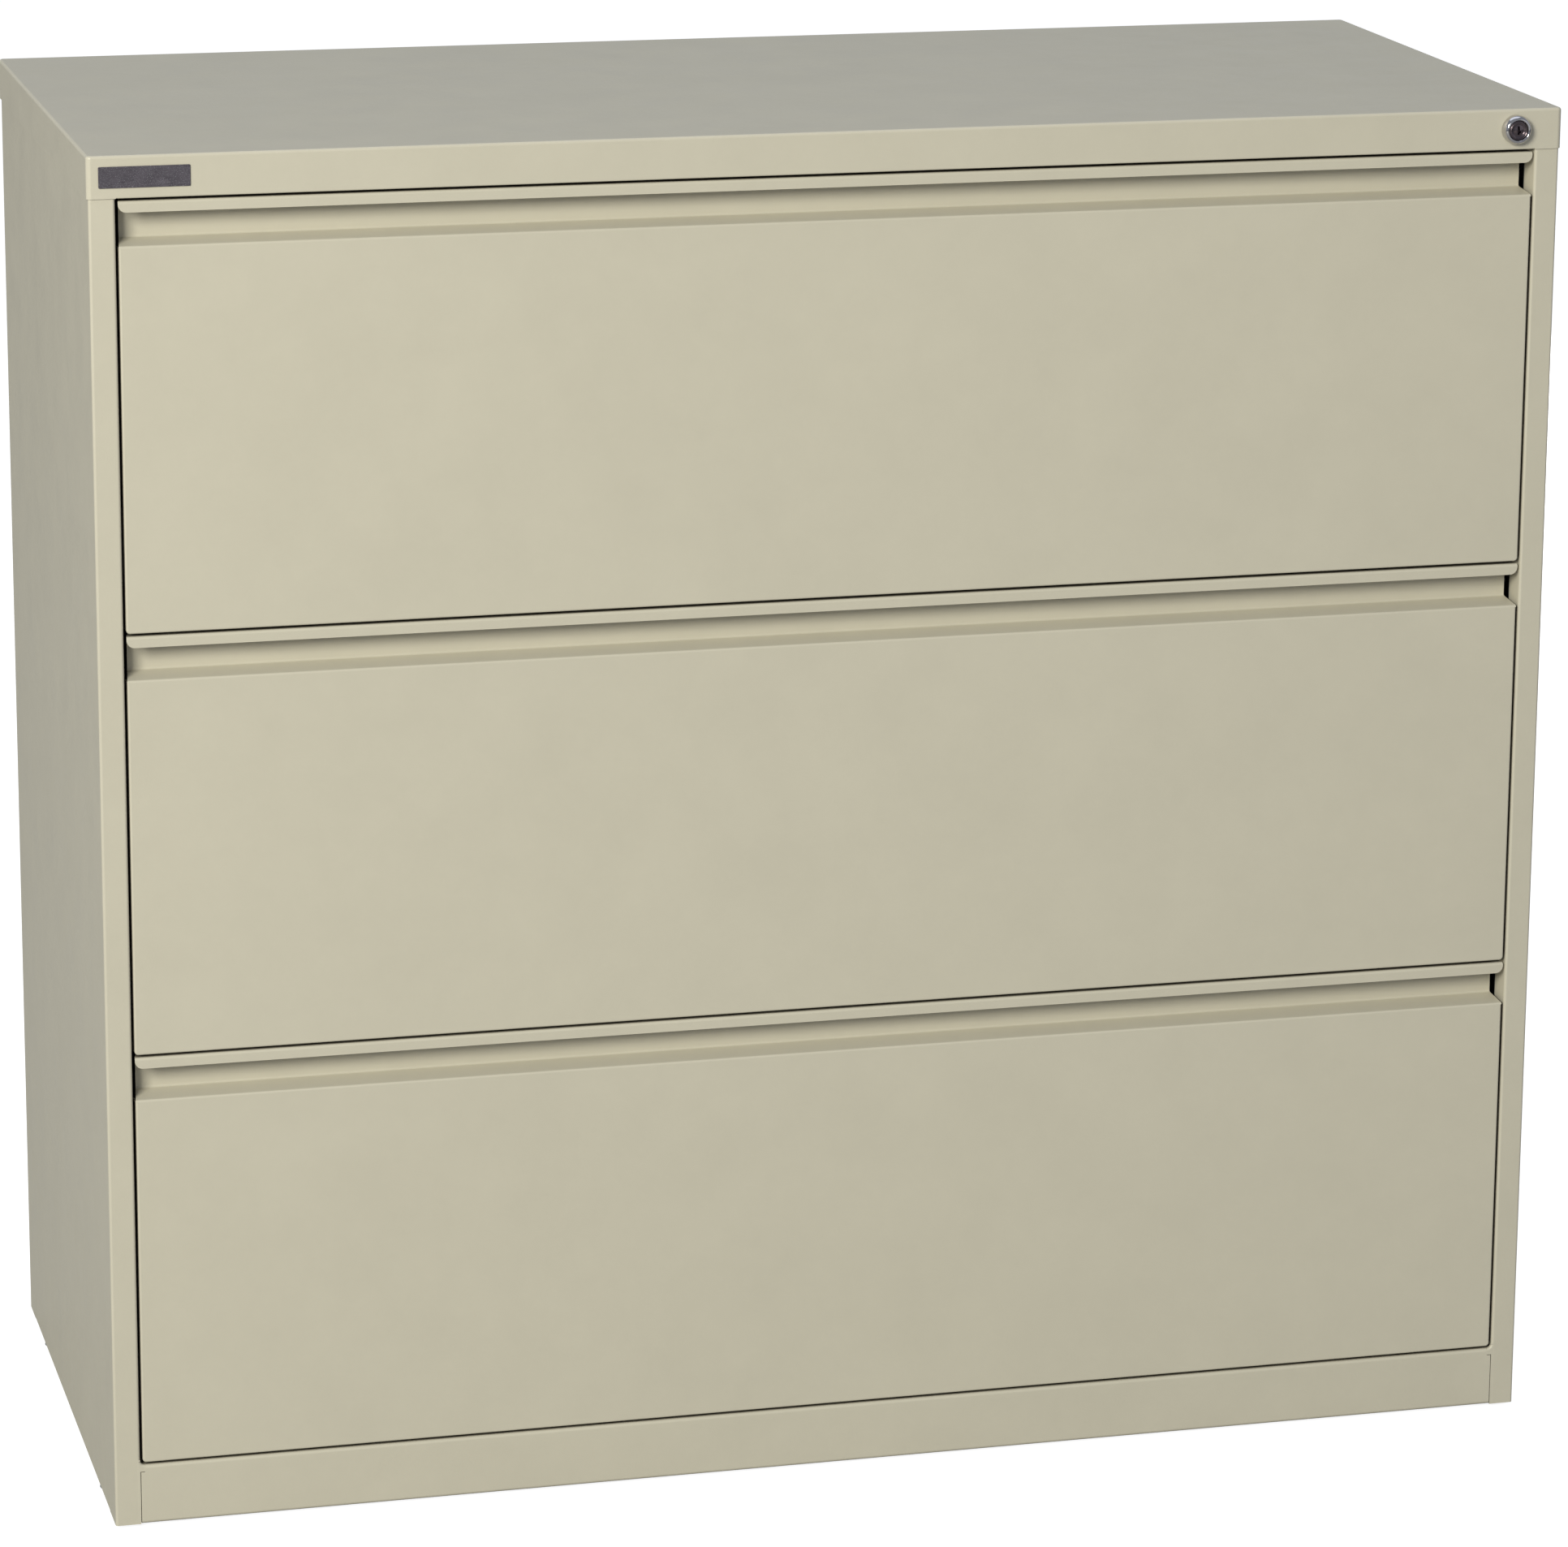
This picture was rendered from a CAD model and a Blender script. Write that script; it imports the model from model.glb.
"""Looks of a three-drawer lateral filing cabinet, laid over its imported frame.

Each sub-assembly is a class that builds its own folded, turned or pressed pieces and
dresses them. Sizes that the frame already holds are read from it, in metres.
"""

from __future__ import annotations

import logging
import math
from collections.abc import Callable, Iterable, Sequence
from dataclasses import dataclass
from enum import Enum
from functools import cache

import bmesh
import bpy
from mathutils import Matrix, Vector


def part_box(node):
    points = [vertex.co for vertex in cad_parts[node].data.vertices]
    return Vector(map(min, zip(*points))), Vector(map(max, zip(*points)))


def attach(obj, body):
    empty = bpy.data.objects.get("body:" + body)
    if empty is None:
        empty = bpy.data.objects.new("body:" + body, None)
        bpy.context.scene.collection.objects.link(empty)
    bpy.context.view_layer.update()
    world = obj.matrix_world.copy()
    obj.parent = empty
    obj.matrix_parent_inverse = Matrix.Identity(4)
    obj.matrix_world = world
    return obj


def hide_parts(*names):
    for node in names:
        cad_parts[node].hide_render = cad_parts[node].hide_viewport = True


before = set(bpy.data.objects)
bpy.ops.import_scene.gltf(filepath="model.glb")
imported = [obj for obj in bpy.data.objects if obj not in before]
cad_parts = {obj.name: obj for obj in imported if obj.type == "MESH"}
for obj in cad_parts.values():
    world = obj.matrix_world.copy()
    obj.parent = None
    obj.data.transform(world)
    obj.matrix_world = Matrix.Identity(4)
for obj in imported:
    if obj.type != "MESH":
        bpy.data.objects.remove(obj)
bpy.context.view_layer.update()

log = logging.getLogger("filing_cabinet")

Test = Callable[[Vector], bool]
Colour = tuple[float, float, float]
Point = tuple[float, float, float]
Span = tuple[float, float]
Socket = bpy.types.NodeSocket

# Lengths this near, in metres, agree.
NEAR = 1e-5
# A face looks along a direction from this cosine on.
ALONG = 0.9
# Two faces meet in a fold line, in shading's sharp line or in a cut edge from here on.
FOLDED = 0.1
SHARP = math.radians(32)
EDGE_ANGLE = math.radians(50)
EDGE_STEPS = 2
FLAT_WEIGHT = 100
HOLE_STEPS = 48
HOLE_PAD = 1.3
# How far a rounded normal agrees with the plain one, on a flat and on an edge.
EDGE_TURN = (0.995, 0.86)
# How much a place sees past its near walls, at a seam's mouth and deep inside.
SEAM_DEPTH = (0.46, 0.10)
DRAWERS = (1, 2, 3)


class Side(Enum):
    """The two sides of the cabinet, seen from the front."""

    LEFT = -1
    RIGHT = 1

    @property
    def word(self) -> str:
        """The side's name as the nodes spell it."""
        return self.name.lower()


class Facing(Enum):
    """The six directions that a face can look in."""

    LEFT = (-1, 0, 0)
    RIGHT = (1, 0, 0)
    FRONT = (0, -1, 0)
    BACK = (0, 1, 0)
    DOWN = (0, 0, -1)
    UP = (0, 0, 1)

    @property
    def vector(self) -> Vector:
        """The direction as a vector."""
        return Vector(self.value)


@dataclass(frozen=True)
class Room:
    """The space that a node of the frame takes up."""

    low: Vector
    high: Vector

    @classmethod
    def of(cls, node: str) -> Room:
        """Reads a node's space from the frame.

        Args:
            node: The node's name.

        Returns:
            Its lowest and highest corners.
        """
        low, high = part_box(node)
        return cls(Vector(low), Vector(high))

    @property
    def size(self) -> Vector:
        """Its width, depth and height."""
        return self.high - self.low

    @property
    def middle(self) -> Vector:
        """Its middle point."""
        return (self.high + self.low) / 2


# --- Finishes --------------------------------------------------------------------
def linear(red: int, green: int, blue: int) -> Colour:
    """Turns a colour as a screen shows it into light values.

    Args:
        red: Red, 0 to 255.
        green: Green, 0 to 255.
        blue: Blue, 0 to 255.

    Returns:
        The three linear values.
    """

    def channel(value: int) -> float:
        """One channel, through the standard screen curve."""
        part = value / 255
        return part / 12.92 if part <= 0.04045 else ((part + 0.055) / 1.055) ** 2.4

    return channel(red), channel(green), channel(blue)


def tinted(colour: Colour, *gains: float) -> Colour:
    """Makes a colour brighter or darker.

    Args:
        colour: The colour.
        gains: One gain for all channels, or one for each.

    Returns:
        The new colour.
    """
    if len(gains) == 1:
        gains *= len(colour)
    return tuple(part * gain for part, gain in zip(colour, gains))


@dataclass(frozen=True)
class Grain:
    """A noise: its features per metre, its octaves and how strong the finer are."""

    per_metre: float
    octaves: float = 2.0
    fineness: float = 0.5


@dataclass(frozen=True)
class Mask:
    """A noise that blends two colours: the band of it that is read, and its strength."""

    grain: Grain
    band: Span
    strength: float = 1.0


class Graph:
    """A material's node tree, with short calls for the nodes used here."""

    def __init__(self, name: str) -> None:
        """Starts a material with its shader and its object coordinates.

        Args:
            name: The material's name.
        """
        self.material = bpy.data.materials.new(name)
        self.material.use_nodes = True
        self.tree = self.material.node_tree
        self.shader = self.tree.nodes["Principled BSDF"]
        self.place = self.add("TexCoord").outputs["Object"]

    def add(self, kind: str, **values: float | Point) -> bpy.types.Node:
        """Adds a node.

        Args:
            kind: The node's type, without its common first words.
            values: Input names with _ for spaces, and their plain values.

        Returns:
            The node.
        """
        node = self.tree.nodes.new(f"ShaderNode{kind}")
        for name, value in values.items():
            node.inputs[name.replace("_", " ")].default_value = value
        return node

    def link(self, source: Socket, target: Socket) -> None:
        """Joins two sockets."""
        self.tree.links.new(source, target)

    def stretched(self, scale: Point) -> Socket:
        """Object coordinates drawn out along some axes.

        Args:
            scale: The scale along each axis.

        Returns:
            The coordinates' socket.
        """
        node = self.add("Mapping", Scale=scale)
        self.link(self.place, node.inputs["Vector"])
        return node.outputs["Vector"]

    def noise(self, grain: Grain, place: Socket | None = None) -> Socket:
        """A noise value over the surface.

        Args:
            grain: The noise.
            place: Coordinates, if not the plain object ones.

        Returns:
            The value's socket.
        """
        node = self.add(
            "TexNoise",
            Scale=grain.per_metre,
            Detail=grain.octaves,
            Roughness=grain.fineness,
        )
        self.link(place or self.place, node.inputs["Vector"])
        return node.outputs["Fac"]

    def mask(self, mask: Mask) -> Socket:
        """A blending factor that varies over the surface.

        Args:
            mask: The noise that it comes from.

        Returns:
            The factor's socket.
        """
        return self.span(self.noise(mask.grain), mask.band, (0.0, mask.strength))

    def spots(self, per_metre: float) -> Socket:
        """Distance to the nearest of many scattered points.

        Args:
            per_metre: Points per metre.

        Returns:
            The distance's socket.
        """
        node = self.add("TexVoronoi", Scale=per_metre)
        self.link(self.place, node.inputs["Vector"])
        return node.outputs["Distance"]

    def span(self, value: Socket, source: Span, target: Span = (0.0, 1.0)) -> Socket:
        """Maps one range of a value onto another.

        Args:
            value: The value's socket.
            source: The range read.
            target: The range given back.

        Returns:
            The new value's socket.
        """
        node = self.add(
            "MapRange",
            From_Min=source[0],
            From_Max=source[1],
            To_Min=target[0],
            To_Max=target[1],
        )
        self.link(value, node.inputs["Value"])
        return node.outputs["Result"]

    def blend(
        self, factor: Socket, first: Colour | Socket, second: Colour | Socket
    ) -> Socket:
        """Mixes two colours.

        Args:
            factor: How much of the second.
            first: The colour at 0.
            second: The colour at 1.

        Returns:
            The mixed colour's socket.
        """
        node = self.add("Mix")
        node.data_type = "RGBA"
        self.link(factor, node.inputs["Factor"])
        for socket, colour in ((node.inputs[6], first), (node.inputs[7], second)):
            if isinstance(colour, tuple):
                socket.default_value = (*colour, 1)
            else:
                self.link(colour, socket)
        return node.outputs[2]

    def total(self, first: Socket, second: Socket) -> Socket:
        """Adds two values and returns the sum's socket."""
        node = self.add("Math")
        node.operation = "ADD"
        self.link(first, node.inputs[0])
        self.link(second, node.inputs[1])
        return node.outputs[0]

    def edges(self, radius: float) -> Socket:
        """How far a place lies on a convex or concave edge, 0 to 1.

        Args:
            radius: The reach of an edge, in metres.

        Returns:
            The value's socket.
        """
        soft = self.add("Bevel", Radius=radius)
        soft.samples = 4
        node = self.add("VectorMath")
        node.operation = "DOT_PRODUCT"
        self.link(soft.outputs["Normal"], node.inputs[0])
        self.link(self.add("NewGeometry").outputs["Normal"], node.inputs[1])
        return self.span(node.outputs["Value"], EDGE_TURN)

    def seams(self, reach: float) -> Socket:
        """How deep a place lies in a seam or a narrow gap, 0 to 1.

        Args:
            reach: How far away the facing walls may be, in metres.

        Returns:
            The value's socket.
        """
        open_sky = self.add("AmbientOcclusion", Distance=reach)
        open_sky.samples = 6
        return self.span(open_sky.outputs["AO"], SEAM_DEPTH)

    def coat(
        self, colour: Socket, rough: Socket, height: Socket, depth: float, **values: float
    ) -> bpy.types.Material:
        """Joins up the shader of a finish.

        Args:
            colour: The colour's socket.
            rough: The roughness's socket.
            height: The relief's socket, 0 to 1.
            depth: The height of a full step of the relief, in metres.
            values: The shader's other inputs, with _ for spaces, and their values.

        Returns:
            The finished material.
        """
        self.link(colour, self.shader.inputs["Base Color"])
        self.link(rough, self.shader.inputs["Roughness"])
        bump = self.add("Bump", Strength=1.0, Distance=depth)
        self.link(height, bump.inputs["Height"])
        self.link(bump.outputs["Normal"], self.shader.inputs["Normal"])
        for name, value in values.items():
            self.shader.inputs[name.replace("_", " ")].default_value = value
        return self.material


@dataclass(frozen=True)
class PowderCoat:
    """Baked paint: orange peel, faint clouding and specks, paler edges, dark seams."""

    name: str
    colour: Colour
    cloud: float = 0.022
    roughness: float = 0.40
    peel: Grain = Grain(620.0, 2.0, 0.55)
    peel_height: float = 0.000045
    clouds: Mask = Mask(Grain(16.0, 5.0, 0.7), (0.32, 0.68))
    specks: Mask = Mask(Grain(1500.0, 1.0), (0.35, 0.65), 0.16)
    edge_reach: float = 0.0011
    edge_gain: float = 1.10
    seam_reach: float = 0.007
    seam_gains: Colour = (0.10, 0.085, 0.07)
    smears: Grain = Grain(26.0, 5.0, 0.6)
    smear_range: Span = (0.3, 0.7)
    smoother: float = 0.045
    rougher: float = 0.05
    specular: float = 0.46

    def build(self) -> bpy.types.Material:
        """Makes the material.

        Returns:
            The finished material.
        """
        graph = Graph(self.name)
        darker = tinted(self.colour, 1 - self.cloud)
        paler = tinted(self.colour, 1 + self.cloud)
        body = graph.blend(graph.mask(self.clouds), darker, paler)
        body = graph.blend(graph.mask(self.specks), body, darker)
        rim = tinted(self.colour, self.edge_gain)
        body = graph.blend(graph.edges(self.edge_reach), body, rim)
        deep = tinted(self.colour, *self.seam_gains)
        body = graph.blend(graph.seams(self.seam_reach), body, deep)
        sheen = (self.roughness - self.smoother, self.roughness + self.rougher)
        rough = graph.span(graph.noise(self.smears), self.smear_range, sheen)
        peel = graph.noise(self.peel)
        return graph.coat(
            body, rough, peel, self.peel_height, Specular_IOR_Level=self.specular
        )


@dataclass(frozen=True)
class PlatedSteel:
    """Zinc-plated sheet: pale metal with rolling streaks and a dull haze."""

    name: str
    colour: Colour
    dull_gain: float = 0.80
    roughness: Span = (0.24, 0.48)
    draw: Point = (60.0, 3.0, 700.0)
    streaks: Grain = Grain(1.0, 3.0, 0.6)
    streak_height: float = 0.000008
    haze: Grain = Grain(18.0, 4.0, 0.65)
    haze_range: Span = (0.35, 0.7)
    haze_strength: float = 0.8
    mixed_range: Span = (0.7, 1.4)

    def build(self) -> bpy.types.Material:
        """Makes the material.

        Returns:
            The finished material.
        """
        graph = Graph(self.name)
        streak = graph.noise(self.streaks, graph.stretched(self.draw))
        haze = graph.noise(self.haze)
        dull = graph.span(haze, self.haze_range, (0.0, self.haze_strength))
        body = graph.blend(dull, self.colour, tinted(self.colour, self.dull_gain))
        mixed = graph.total(streak, haze)
        rough = graph.span(mixed, self.mixed_range, self.roughness)
        return graph.coat(body, rough, streak, self.streak_height, Metallic=1.0)


@dataclass(frozen=True)
class Polished:
    """Bright or dark polished metal with faint smears and pin-prick pits."""

    name: str
    colour: Colour
    roughness: float = 0.07
    smoothest: float = 0.6
    roughest: float = 2.2
    worn_gain: float = 0.72
    smears: Grain = Grain(240.0, 5.0, 0.6)
    worn_range: Span = (0.5, 0.8)
    worn_strength: float = 0.6
    sheen_range: Span = (0.3, 0.75)
    pits_per_metre: float = 900.0
    pit_range: Span = (0.0, 0.2)
    pit_depth: float = 0.000004

    def build(self) -> bpy.types.Material:
        """Makes the material.

        Returns:
            The finished material.
        """
        graph = Graph(self.name)
        smear = graph.noise(self.smears)
        worn = graph.span(smear, self.worn_range, (0.0, self.worn_strength))
        body = graph.blend(worn, self.colour, tinted(self.colour, self.worn_gain))
        sheen = (self.roughness * self.smoothest, self.roughness * self.roughest)
        rough = graph.span(smear, self.sheen_range, sheen)
        pits = graph.span(graph.spots(self.pits_per_metre), self.pit_range)
        return graph.coat(body, rough, pits, self.pit_depth, Metallic=1.0)


@dataclass(frozen=True)
class BrushedPlate:
    """A dark anodised plate, brushed along its length, with bright flecks."""

    name: str
    colour: Colour
    fleck: Colour
    dark_gain: float = 0.62
    draw: Point = (160.0, 400.0, 5200.0)
    lines: Grain = Grain(1.0, 3.0, 0.7)
    line_range: Span = (0.3, 0.7)
    line_depth: float = 0.000010
    clouds: Grain = Grain(95.0, 4.0, 0.6)
    mixed_range: Span = (0.75, 1.35)
    flecks: Mask = Mask(Grain(1900.0, 1.0), (0.60, 0.72), 0.80)
    roughness: Span = (0.30, 0.52)
    metal: float = 0.85

    def build(self) -> bpy.types.Material:
        """Makes the material.

        Returns:
            The finished material.
        """
        graph = Graph(self.name)
        lines = graph.noise(self.lines, graph.stretched(self.draw))
        mixed = graph.total(lines, graph.noise(self.clouds))
        dark = tinted(self.colour, self.dark_gain)
        body = graph.blend(graph.span(mixed, self.mixed_range), dark, self.colour)
        body = graph.blend(graph.mask(self.flecks), body, self.fleck)
        rough = graph.span(lines, self.line_range, self.roughness)
        return graph.coat(body, rough, lines, self.line_depth, Metallic=self.metal)


@dataclass(frozen=True)
class CastIron:
    """A rough grey casting with rusty patches."""

    name: str
    colour: Colour
    rust_gains: Colour = (1.5, 0.95, 0.7)
    patches: Mask = Mask(Grain(22.0, 5.0, 0.7), (0.5, 0.75), 0.7)
    grit: Grain = Grain(480.0, 4.0, 0.7)
    grit_range: Span = (0.3, 0.7)
    grit_height: float = 0.00022
    roughness: Span = (0.66, 0.88)
    metal: float = 0.7

    def build(self) -> bpy.types.Material:
        """Makes the material.

        Returns:
            The finished material.
        """
        graph = Graph(self.name)
        rust = tinted(self.colour, *self.rust_gains)
        body = graph.blend(graph.mask(self.patches), self.colour, rust)
        grit = graph.noise(self.grit)
        rough = graph.span(grit, self.grit_range, self.roughness)
        return graph.coat(body, rough, grit, self.grit_height, Metallic=self.metal)


@dataclass(frozen=True)
class StudioPaper:
    """The plain pale floor: it looks white and throws little light back."""

    name: str
    colour: Colour
    shade_gain: float = 0.97
    tooth: Grain = Grain(3.0, 3.0)
    roughness: float = 0.85
    specular: float = 0.2
    glow: float = 0.90

    def build(self) -> bpy.types.Material:
        """Makes the material.

        Returns:
            The finished material.
        """
        graph = Graph(self.name)
        shade = tinted(self.colour, self.shade_gain)
        body = graph.blend(graph.noise(self.tooth), shade, self.colour)
        inputs = graph.shader.inputs
        graph.link(body, inputs["Base Color"])
        inputs["Roughness"].default_value = self.roughness
        inputs["Specular IOR Level"].default_value = self.specular
        inputs["Emission Color"].default_value = (1, 1, 1, 1)
        seen = graph.add("LightPath").outputs["Is Camera Ray"]
        glow = graph.span(seen, (0.0, 1.0), (0.0, self.glow))
        graph.link(glow, inputs["Emission Strength"])
        return graph.material


class Finish(Enum):
    """Every finish on the cabinet, by its use."""

    PAINT = PowderCoat("putty_powder_coat", linear(196, 191, 173))
    INNER_PAINT = PowderCoat(
        "putty_inner_coat",
        linear(196, 190, 170),
        cloud=0.05,
        roughness=0.50,
        peel=Grain(700.0, 2.0, 0.55),
        peel_height=0.00006,
    )
    ZINC = PlatedSteel("zinc_plate", (0.64, 0.65, 0.66))
    CHROME = Polished("bezel_chrome", (0.60, 0.585, 0.59))
    PLUG = Polished("plug_dark_metal", (0.16, 0.13, 0.14), 0.16)
    BADGE = BrushedPlate("badge_plate", (0.20, 0.18, 0.21), (0.60, 0.60, 0.64))
    BALLAST = CastIron("ballast_iron", (0.13, 0.13, 0.13))
    FLOOR = StudioPaper("studio_floor", (0.36, 0.36, 0.36))


@cache
def material(finish: Finish) -> bpy.types.Material:
    """Makes the material of a finish, once.

    Args:
        finish: The finish.

    Returns:
        Its material.
    """
    return finish.value.build()


def dress(finish: Finish, *nodes: str) -> None:
    """Gives nodes of the frame a finish.

    Args:
        finish: The finish.
        nodes: The nodes' names.
    """
    for node in nodes:
        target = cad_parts[node]
        target.data.materials.clear()
        target.data.materials.append(material(finish))
        log.info("dressed %s in %s", node, finish.name.lower())


# --- Sheet-metal work ------------------------------------------------------------
def anywhere(_: Vector) -> bool:
    """Picks every place."""
    return True


def looks(face: bmesh.types.BMFace, way: Facing) -> bool:
    """Whether a face looks in a direction."""
    return face.normal.dot(way.vector) > ALONG


def into_data(name: str, mesh: bmesh.types.BMesh) -> bpy.types.Mesh:
    """Writes a mesh under construction into new mesh data, and frees it."""
    data = bpy.data.meshes.new(name)
    mesh.to_mesh(data)
    mesh.free()
    return data


def into_scene(name: str, data: bpy.types.ID) -> bpy.types.Object:
    """Puts a new object with some data into the scene."""
    made = bpy.data.objects.new(name, data)
    bpy.context.scene.collection.objects.link(made)
    return made


class Sheet:
    """A surface that is cut, flanged and bent, and then given its gauge."""

    def __init__(self) -> None:
        """Starts with nothing."""
        self.mesh = bmesh.new()

    @classmethod
    def block(cls, low: Vector, high: Vector) -> Sheet:
        """A closed box between two corners.

        Args:
            low: The lowest corner.
            high: The highest corner.

        Returns:
            The box.
        """
        made = cls()
        bmesh.ops.create_cube(made.mesh, size=1)
        bmesh.ops.scale(made.mesh, vec=high - low, verts=made.mesh.verts)
        bmesh.ops.translate(made.mesh, vec=(high + low) / 2, verts=made.mesh.verts)
        return made

    @classmethod
    def run(cls, points: Sequence[Point], sweep: Point, outward: Facing) -> Sheet:
        """A chain of points swept along a vector.

        Args:
            points: The chain.
            sweep: The sweep.
            outward: The way that the first leg faces.

        Returns:
            The open surface.
        """
        made = cls()
        mesh = made.mesh
        chain = [mesh.verts.new(point) for point in points]
        legs = [mesh.edges.new(pair) for pair in zip(chain, chain[1:])]
        grown = bmesh.ops.extrude_edge_only(mesh, edges=legs)["geom"]
        bmesh.ops.translate(mesh, vec=sweep, verts=verts_of(grown))
        made.face_out(lambda f: chain[0] in f.verts and chain[1] in f.verts, outward)
        return made

    def face_out(
        self, pick: Callable[[bmesh.types.BMFace], bool], outward: Facing
    ) -> None:
        """Turns the whole surface so that one face looks outward.

        Args:
            pick: Says which face is looked at.
            outward: The way that it has to look.
        """
        bmesh.ops.recalc_face_normals(self.mesh, faces=self.mesh.faces)
        self.mesh.normal_update()
        leader = next(face for face in self.mesh.faces if pick(face))
        if leader.normal.dot(outward.vector) < 0:
            bmesh.ops.reverse_faces(self.mesh, faces=self.mesh.faces)

    def open(self, *ways: Facing) -> None:
        """Removes the faces that look in some directions.

        Args:
            ways: The directions.
        """
        gone = [f for f in self.mesh.faces if any(looks(f, way) for way in ways)]
        bmesh.ops.delete(self.mesh, geom=gone, context="FACES")

    def trim_off(self, where: Test) -> None:
        """Removes the faces whose middle a test picks.

        Args:
            where: Says which faces.
        """
        gone = [f for f in self.mesh.faces if where(f.calc_center_median())]
        bmesh.ops.delete(self.mesh, geom=gone, context="FACES")

    def slice(
        self,
        point: Point,
        normal: Facing,
        where: Facing | None = None,
        within: Test = anywhere,
    ) -> None:
        """Draws a cut line across the surface.

        Args:
            point: A point on the cutting plane.
            normal: The plane's normal.
            where: Cuts only the faces that look this way.
            within: Cuts only the faces whose middle passes this test.
        """
        faces = [
            face
            for face in self.mesh.faces
            if (where is None or looks(face, where))
            and within(face.calc_center_median())
        ]
        edges = [edge for face in faces for edge in face.edges]
        verts = [vert for face in faces for vert in face.verts]
        bmesh.ops.bisect_plane(
            self.mesh,
            geom=list(dict.fromkeys(faces + edges + verts)),
            dist=NEAR,
            plane_co=point,
            plane_no=normal.value,
        )

    def flange(self, where: Test, *shifts: Point) -> None:
        """Grows the free edges that a test picks, once for each shift.

        Args:
            where: Says which points the edges run between.
            shifts: The moves, one after the other.
        """
        free = [
            edge
            for edge in self.mesh.edges
            if edge.is_boundary and all(where(vert.co) for vert in edge.verts)
        ]
        for shift in shifts:
            grown = bmesh.ops.extrude_edge_only(self.mesh, edges=free)["geom"]
            moved = verts_of(grown)
            free = [
                item
                for item in grown
                if isinstance(item, bmesh.types.BMEdge)
                and all(vert in moved for vert in item.verts)
            ]
            bmesh.ops.translate(self.mesh, vec=shift, verts=moved)
        self.mesh.normal_update()

    def bend(self, where: Test, radius: float, steps: int = 5) -> None:
        """Rounds the fold lines whose middle a test picks.

        Args:
            where: Says which fold lines.
            radius: The bend's radius.
            steps: The facets round the bend.
        """
        self.mesh.normal_update()
        lines = [
            edge
            for edge in self.mesh.edges
            if len(edge.link_faces) == 2
            and edge.calc_face_angle(0) > FOLDED
            and where((edge.verts[0].co + edge.verts[1].co) / 2)
        ]
        bevel(self.mesh, lines, radius, steps)

    def round_corners(self, where: Test, radius: float, steps: int) -> None:
        """Rounds free corners of the sheet in its own plane.

        Args:
            where: Says which points.
            radius: The corner's radius.
            steps: The facets round the corner.
        """
        corners = [vert for vert in self.mesh.verts if where(vert.co)]
        bevel(self.mesh, corners, radius, steps, "VERTICES")

    def punch(self, centre: Vector, radius: float, where: Facing) -> None:
        """Punches a round hole through the flat that looks one way.

        Args:
            centre: The hole's middle.
            radius: The hole's radius.
            where: The way that the flat looks.
        """
        pad = radius * HOLE_PAD
        across = Facing.UP if where.vector.z == 0 else Facing.BACK
        turn = Matrix.Rotation(math.pi / 2 if where.vector.z == 0 else 0, 4, "X")

        def over(middle: Vector) -> bool:
            """Between the two cuts beside the hole."""
            return abs(middle.x - centre.x) < pad

        for reach in (-pad, pad):
            self.slice(centre + Facing.RIGHT.vector * reach, Facing.RIGHT, where)
        for reach in (-pad, pad):
            self.slice(centre + across.vector * reach, across, where, over)
        self.mesh.normal_update()
        patch = min(
            (face for face in self.mesh.faces if looks(face, where)),
            key=lambda face: (face.calc_center_median() - centre).length,
        )
        rim = patch.edges[:]
        bmesh.ops.delete(self.mesh, geom=[patch], context="FACES_ONLY")
        made = bmesh.ops.create_circle(
            self.mesh,
            segments=HOLE_STEPS,
            radius=radius,
            matrix=Matrix.Translation(centre) @ turn,
        )
        ring = dict.fromkeys(
            edge for vert in made["verts"] for edge in vert.link_edges
        )
        filled = bmesh.ops.triangle_fill(
            self.mesh, edges=rim + list(ring), use_beauty=True
        )["geom"]
        self.mesh.normal_update()
        wrong = [
            item
            for item in filled
            if isinstance(item, bmesh.types.BMFace)
            and item.normal.dot(where.vector) < 0
        ]
        bmesh.ops.reverse_faces(self.mesh, faces=wrong)
        self.mesh.normal_update()

    def turn_to(self, side: Side) -> None:
        """Turns a left-hand sheet into the right-hand one if asked.

        Args:
            side: The side wanted.
        """
        if side is Side.RIGHT:
            bmesh.ops.scale(self.mesh, vec=(-1, 1, 1), verts=self.mesh.verts)
            bmesh.ops.reverse_faces(self.mesh, faces=self.mesh.faces)


def verts_of(geometry: Iterable[object]) -> list[bmesh.types.BMVert]:
    """The points among mixed geometry."""
    return [item for item in geometry if isinstance(item, bmesh.types.BMVert)]


def bevel(
    mesh: bmesh.types.BMesh,
    geometry: Iterable[bmesh.types.BMEdge | bmesh.types.BMVert],
    radius: float,
    steps: int,
    affect: str = "EDGES",
) -> None:
    """Rounds edges, or free corners.

    Args:
        mesh: The mesh.
        geometry: Its edges or its corner points.
        radius: The radius.
        steps: The facets round the bend.
        affect: Which of the two they are, as the bevel tool spells it.
    """
    bmesh.ops.bevel(
        mesh,
        geom=list(geometry),
        offset=radius,
        offset_type="OFFSET",
        segments=steps,
        profile=0.5,
        affect=affect,
        material=-1,
    )


def rolled_under(radius: float, steps: int = 5) -> list[Point]:
    """The moves that roll a lower front edge down and back through a right angle.

    Args:
        radius: The roll's radius.
        steps: The facets round the roll.

    Returns:
        One move for each facet.
    """
    turns = [step / steps * math.pi / 2 for step in range(steps + 1)]
    places = [
        (radius * (1 - math.cos(turn)), -radius * math.sin(turn)) for turn in turns
    ]
    return [
        (0, after[0] - before[0], after[1] - before[1])
        for before, after in zip(places, places[1:])
    ]


def near(value: float, target: float) -> bool:
    """Whether two lengths agree."""
    return abs(value - target) < NEAR


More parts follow.
